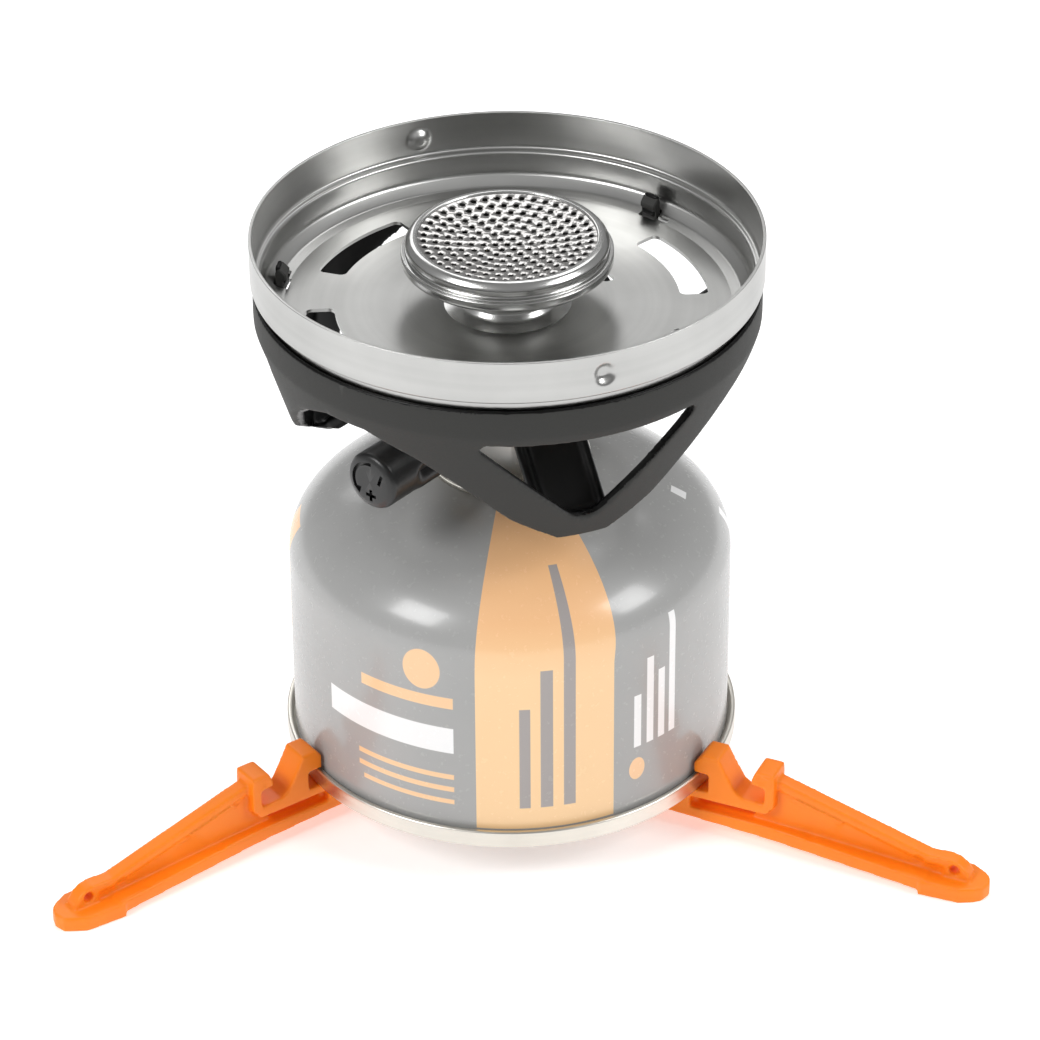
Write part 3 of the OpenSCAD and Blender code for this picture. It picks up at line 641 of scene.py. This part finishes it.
# ------------------------------------------------------------------ plastic base
def burner_base():
    parts = [copy_of("burner_base", "burner_base_moulded", base_outer)]
    for az in LOBE_AZ:
        c, s = cos(radians(az)), sin(radians(az))

        def place(x, y, z, c=c, s=s):
            return (x * c - y * s, x * s + y * c, z)

        # Ribs along both sides of the strut
        for side in (-1, 1):
            rings = []
            for t in np.linspace(0, 1, 9):
                x, z = 35.0 + (17.5 - 35.0) * t, 82.0 + (96.0 - 82.0) * t
                ring = [place(x + 1.5 * cos(a) * 0.7, side * 6.2 + 1.25 * sin(a), z + 1.5 * cos(a))
                        for a in np.linspace(0, 2 * pi, 10, endpoint=False)]
                rings.append(ring)
            parts.append(loft("rib", rings, base_outer))
    base = join(parts)
    soften(base, 0.4, 5, 0.45)
    base.data.materials.append(base_inner)

    def tuck(co, no):
        """Draws the strut's foot in to the lobe's own edge, so that no corner shows below it."""
        shift = np.zeros_like(co)
        for az in LOBE_AZ:
            c, s = cos(radians(az)), sin(radians(az))
            along, side = co[:, 0] * c + co[:, 1] * s, co[:, 1] * c - co[:, 0] * s
            edge = 4.5 + np.clip(co[:, 2] - 79.9, 0, 9) * 1.55
            over = np.maximum(np.abs(side) - edge, 0) * np.sign(side) * (along > 33) * (co[:, 2] < 82.4)
            shift[:, 0] += over * s
            shift[:, 1] -= over * c
        return shift

    move_points(base, tuck)
    mod = base.modifiers.new("ease", "SMOOTH")
    mod.factor = 0.5
    mod.iterations = 5
    apply_modifiers(base)
    base.data.shade_smooth()
    # Spring clips that hold the pan, added after the rounding so that they stay crisp
    clips = []
    for az in LOBE_AZ:
        outline = fillet([(44.9, 108.6, 0), (46.5, 108.6, 0), (46.5, 113.2, 0.3), (45.9, 114.4, 0.5),
                          (44.3, 112.9, 0.4), (44.3, 112.1, 0.2), (44.9, 111.4, 0.2)], 3)
        c, s = cos(radians(az)), sin(radians(az))
        rings = []
        for side, inset in ((-1.85, 0.25), (-1.6, 0), (1.6, 0), (1.85, 0.25)):
            rings.append([((45.4 + (x - 45.4) * (1 - inset)) * c - side * s,
                           (45.4 + (x - 45.4) * (1 - inset)) * s + side * c,
                           111 + (z - 111) * (1 - inset * 0.35)) for x, z in outline])
        clips.append(loft("clip", rings, base_outer))
    first = len(base.data.polygons)
    base = join([base] + clips)
    # The outside is textured; struts, ledge and the inside are smooth and black
    for poly in base.data.polygons:
        x, y, z = poly.center / MM
        r = hypot(x, y)
        outward = (poly.normal.x * x + poly.normal.y * y) / max(r, 1e-6)
        edge = float(np.interp(z, (80.2, 95.3, 108.8), (41.4, 46.1, 50.3)))
        toe = z < 83.2
        outer = r > edge - (3.4 if toe else 1.3) and outward > (-0.2 if toe else 0.12)
        poly.material_index = 0 if outer and z < 114.4 or poly.index >= first else 1
    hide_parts("burner_base")
    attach(base, "burner")


# ------------------------------------------------------------------ knob
def face_point(a, b, u):
    """Point at a to the right and b up on the knob's end as one looks at it, u out along its axis."""
    dx, dy = polar(KNOB_AZ, 1)
    return (dx * u - dy * a, dy * u + dx * a, SPINDLE_Z + b)


def knob():
    def radius(theta, u):
        ribs = 0.5 + 0.5 * cos(6 * theta)
        grip = 4.75 + 1.6 * ribs ** 0.6
        end = 5.95
        t = float(smoothstep(u, 33.0, 35.2))
        r = grip * (1 - t) + end * t
        for low, size in ((22.0, 1.2), (42.55, 1.3)):
            d = abs(u - low)
            if d < size:
                r -= size - sqrt(max(0.0, size * size - (size - d) ** 2))
        return r

    steps = [*np.linspace(22.0, 23.3, 6), *np.linspace(24, 41, 30), *np.linspace(41.25, 42.55, 8)]
    turn = np.linspace(0, 2 * pi, 120, endpoint=False)
    rings = [[face_point(radius(t, u) * sin(t), radius(t, u) * cos(t), u) for t in turn] for u in steps]
    rings += [[face_point(r * sin(t), r * cos(t), 42.6) for t in turn] for r in (4.5, 3.0, 1.2, 0.02)]
    rings = [[face_point(r * sin(t), r * cos(t), 22.0) for t in turn] for r in (1.76, 3.0)] + rings
    obj = loft("control_knob_grip", rings, knob_black)

    def mark(outline):
        return prism("mark", outline, 41.9, 43.5, knob_black, face_point)

    def arc(r0, r1, a0, a1, n=14):
        out = [(r1 * sin(radians(a)), r1 * cos(radians(a))) for a in np.linspace(a0, a1, n)]
        return out + [(r0 * sin(radians(a)), r0 * cos(radians(a))) for a in np.linspace(a1, a0, n)]

    bar = [(-1.25, -0.36), (1.25, -0.36), (1.25, 0.36), (-1.25, 0.36)]
    marks = [arc(3.7, 4.45, -120, 5)]
    tip = radians(-126)
    marks.append([(4.05 * sin(tip) + dx, 4.05 * cos(tip) + dy)
                  for dx, dy in ((-1.0, 0.5), (1.1, 0.7), (0.6, -0.9))])
    marks.append([(2.6 + 0.35 * x - 0.94 * y, 1.3 + 0.94 * x + 0.35 * y) for x, y in bar])
    marks.append([(0.2 + x, -2.9 + y) for x, y in bar])
    marks.append([(0.2 - y, -2.9 + x) for x, y in bar])
    cut(obj, [mark(m) for m in marks])
    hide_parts("control_knob", "knob_cap")
    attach(obj, "spindle")


# ------------------------------------------------------------------ legs
def leg(node, body):
    obj = copy_of(node, node + "_moulded", leg_orange)
    soften(obj, 0.3, 11, 0.5)
    turn = radians(LEG_AZ[node] + LEG_SKEW)
    c, s = cos(turn), sin(turn)

    def details(co, no):
        along = co[:, 0] * c + co[:, 1] * s
        side = -co[:, 0] * s + co[:, 1] * c + LEG_OFFSET
        flat = -no[:, 0] * s + no[:, 1] * c
        z = co[:, 2]
        push = np.zeros(len(co))
        facing = np.abs(flat) > 0.8
        # Oval pad on the web
        tilt = (z - 11.0) - (along - 71.0) * -0.12
        oval = np.hypot((along - 71.0) / 6.2, tilt / 2.4)
        push += 0.35 * (1 - smoothstep(oval, 0.93, 1.03)) * facing * (np.abs(side) < 1.6)
        # Ejector marks
        for a, h, r in ((93.2, 5.6, 1.2), (55.3, 13.6, 1.3), (59.4, 16.6, 1.0)):
            push -= 0.25 * (1 - smoothstep(np.hypot(along - a, z - h), r - 0.15, r + 0.12)) * facing
        shift = np.zeros_like(co)
        shift[:, 0] = -s * push * np.sign(flat)
        shift[:, 1] = c * push * np.sign(flat)
        up = no[:, 2] > 0.8
        for a, w in ((70.5, 2.6), (88.3, 3.3)):
            for sign in (-1, 1):
                near = np.hypot(along - a, side - sign * w)
                shift[:, 2] -= 0.14 * (1 - smoothstep(near, 0.8, 1.1)) * up * (z < 7)
        return shift

    move_points(obj, details)
    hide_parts(node)
    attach(obj, body)


# ------------------------------------------------------------------ CAD nodes that stay
def dress(node, material, bevel=0.0):
    """Gives a CAD node its material and, where it shows, softened edges."""
    obj = nodes[node]
    obj.data.materials.clear()
    obj.data.materials.append(material)
    for poly in obj.data.polygons:
        poly.material_index = 0
    if bevel:
        weld = obj.modifiers.new("weld", "WELD")
        weld.merge_threshold = 0.002 * MM
        mod = obj.modifiers.new("edges", "BEVEL")
        mod.width = bevel * MM
        mod.segments = 2
        mod.limit_method = "ANGLE"
        mod.angle_limit = radians(40)


canister()
pot_ring()
burner_head()
flame_plate()
burner_base()
knob()
leg("leg_back", "stand")
leg("leg_left", "left_leg")
leg("leg_right", "right_leg")
for node, material, bevel in (
        ("valve_housing", valve_plastic, 0), ("valve_stem", brass, 0), ("valve_spring", small_steel, 0),
        ("valve_gasket", seal_rubber, 0), ("hub_rivet", small_steel, 0.3), ("rivet_washer", small_steel, 0.1),
        ("valve_body", body_metal, 0.35), ("inlet_pin", brass, 0), ("inlet_filter", brass, 0),
        ("inlet_seal", seal_rubber, 0), ("gland_nut", brass, 0.25), ("needle_spindle", small_steel, 0.1),
        ("spindle_seal", seal_rubber, 0), ("knob_screw", small_steel, 0), ("base_screws", small_steel, 0.2),
        # The diffuser screen's dark metal is painted shade seen through the flame plate's ports
        ("jet", brass, 0.15), ("mixing_tube", head_metal, 0.1), ("diffuser_screen", painted_shade_metal, 0)):
    dress(node, material, bevel)


# ------------------------------------------------------------------ floor, light, camera
def studio():
    s = Shader("studio_floor", (0.9, 0.9, 0.9), 0.6, Emission_Color=(1, 1, 1, 1), Emission_Strength=0.4)
    s.set("Roughness", s.range(s.noise(0.02, 3), 0.3, 0.7, 0.55, 0.7))
    half = 3000
    corners = [(-half, -half, 0), (half, -half, 0), (half, half, 0), (-half, half, 0)]
    floor = add_object("studio_floor", corners, [(0, 1, 2, 3)], s.material)
    world = bpy.data.worlds.new("studio")
    bpy.context.scene.world = world
    world.use_nodes = True
    back = world.node_tree.nodes["Background"]
    back.inputs["Color"].default_value = (1, 1, 1, 1)
    back.inputs["Strength"].default_value = 0.3

    def softbox(name, position, target, size, power):
        light = bpy.data.lights.new(name, "AREA")
        light.shape = "RECTANGLE"
        light.size, light.size_y = size
        light.energy = power
        obj = bpy.data.objects.new(name, light)
        obj.location = position
        aim = Vector(target) - Vector(position)
        obj.rotation_euler = aim.to_track_quat("-Z", "Y").to_euler()
        bpy.context.scene.collection.objects.link(obj)

    softbox("key_left", (-0.75, -0.5, 0.78), (0, 0, 0.06), (0.45, 0.45), 6.8)
    softbox("key_right", (0.9, -0.35, 0.78), (0, 0, 0.06), (0.45, 0.45), 5.9)
    softbox("back_left", (-0.35, 0.95, 0.7), (0, 0, 0.1), (0.5, 0.5), 1.6)
    softbox("top", (0.25, 0.7, 1.2), (0, 0, 0.1), (1.0, 0.7), 5.5)


def camera():
    pitch, roll, turn = radians(32.70), radians(0.41), radians(-2.7)
    up0 = Vector((0, sin(pitch), cos(pitch)))
    right = Vector((cos(roll), 0, 0)) - up0 * sin(roll)
    up = Vector((sin(roll), 0, 0)) + up0 * cos(roll)
    back = Vector((0, -cos(pitch), sin(pitch)))
    spin = Matrix.Rotation(turn, 3, "Z")
    right, up, back = spin @ right, spin @ up, spin @ back
    place = spin @ Vector((0.0021, -0.7952, 0.5692))
    data = bpy.data.cameras.new("camera")
    data.sensor_fit = "HORIZONTAL"
    data.sensor_width = 36
    data.lens = 4645 * 36 / 1040
    data.clip_start, data.clip_end = 0.01, 100
    obj = bpy.data.objects.new("camera", data)
    bpy.context.scene.collection.objects.link(obj)
    obj.matrix_world = Matrix((
        (right.x, up.x, back.x, place.x), (right.y, up.y, back.y, place.y),
        (right.z, up.z, back.z, place.z), (0, 0, 0, 1)))
    bpy.context.scene.camera = obj


studio()
camera()
bpy.context.scene.view_settings.view_transform = "Standard"
bpy.context.scene.view_settings.look = "None"
bpy.context.scene.cycles.use_denoising = True
